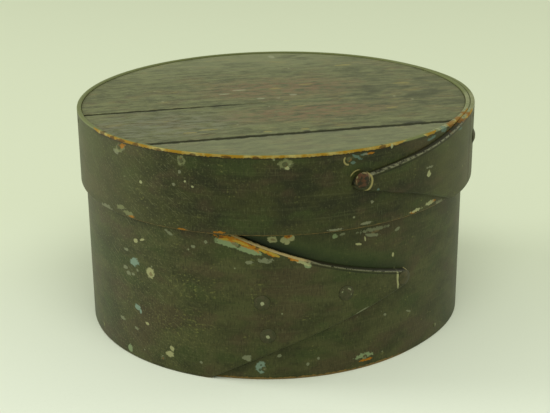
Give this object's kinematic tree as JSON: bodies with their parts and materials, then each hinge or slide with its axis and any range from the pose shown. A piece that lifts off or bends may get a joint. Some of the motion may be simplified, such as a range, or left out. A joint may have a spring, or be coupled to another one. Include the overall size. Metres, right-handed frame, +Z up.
{
  "type": "bentwood lidded box",
  "caption": "Nearly round lidded box of thin bent wood bands, each lapped with one tacked finger and pegged to a flat wooden board.",
  "frame": {"origin": "on the underside, in the middle of the oval form that the base is bent around, where the box stands on a surface", "axes": "+X along the long axis of the oval, -Y towards the front, +Z up; both bands lap on the quarter between the front and the -X end"},
  "size_m": [0.1401, 0.136, 0.0757],
  "materials": {
    "base_band": "thin bent wood under old dark olive-green paint, satin, worn at the edges",
    "lid_band": "thin bent wood under old dark olive-green paint, satin, worn at the edges",
    "top_board": "flat-sawn board under thin worn grey-green paint, grain showing",
    "top_strip": "flat-sawn board under thin worn grey-green paint, grain showing",
    "bottom_board": "bare pine darkened with age",
    "tack": "rusty iron with paint remains",
    "base_peg": "wooden peg end, painted over",
    "lid_peg": "wooden peg end, painted over"
  },
  "bodies": {
    "base": {"base_band": "base_band", "base_bottom_board": "bottom_board", "base_tip_tack": "tack", "base_lap_tack_1": "tack", "base_lap_tack_2": "tack", "base_lap_tack_3": "tack", "base_peg_01": "base_peg", "base_peg_02": "base_peg", "base_peg_03": "base_peg", "base_peg_04": "base_peg", "base_peg_05": "base_peg", "base_peg_06": "base_peg", "base_peg_07": "base_peg", "base_peg_08": "base_peg", "base_peg_09": "base_peg", "base_peg_10": "base_peg", "base_peg_11": "base_peg", "base_peg_12": "base_peg"},
    "lid": {"lid_band": "lid_band", "lid_top_board": "top_board", "lid_top_strip": "top_strip", "lid_tip_tack": "tack", "lid_lap_tack_1": "tack", "lid_peg_01": "lid_peg", "lid_peg_02": "lid_peg", "lid_peg_03": "lid_peg", "lid_peg_04": "lid_peg", "lid_peg_05": "lid_peg", "lid_peg_06": "lid_peg", "lid_peg_07": "lid_peg", "lid_peg_08": "lid_peg", "lid_peg_09": "lid_peg", "lid_peg_10": "lid_peg", "lid_peg_11": "lid_peg", "lid_peg_12": "lid_peg"}
  },
  "joints": [
    {"name": "lid_lift", "type": "slide", "parent": "base", "child": "lid", "axis": [0, 0, 1], "range_m": [0, 0.09]}
  ]
}
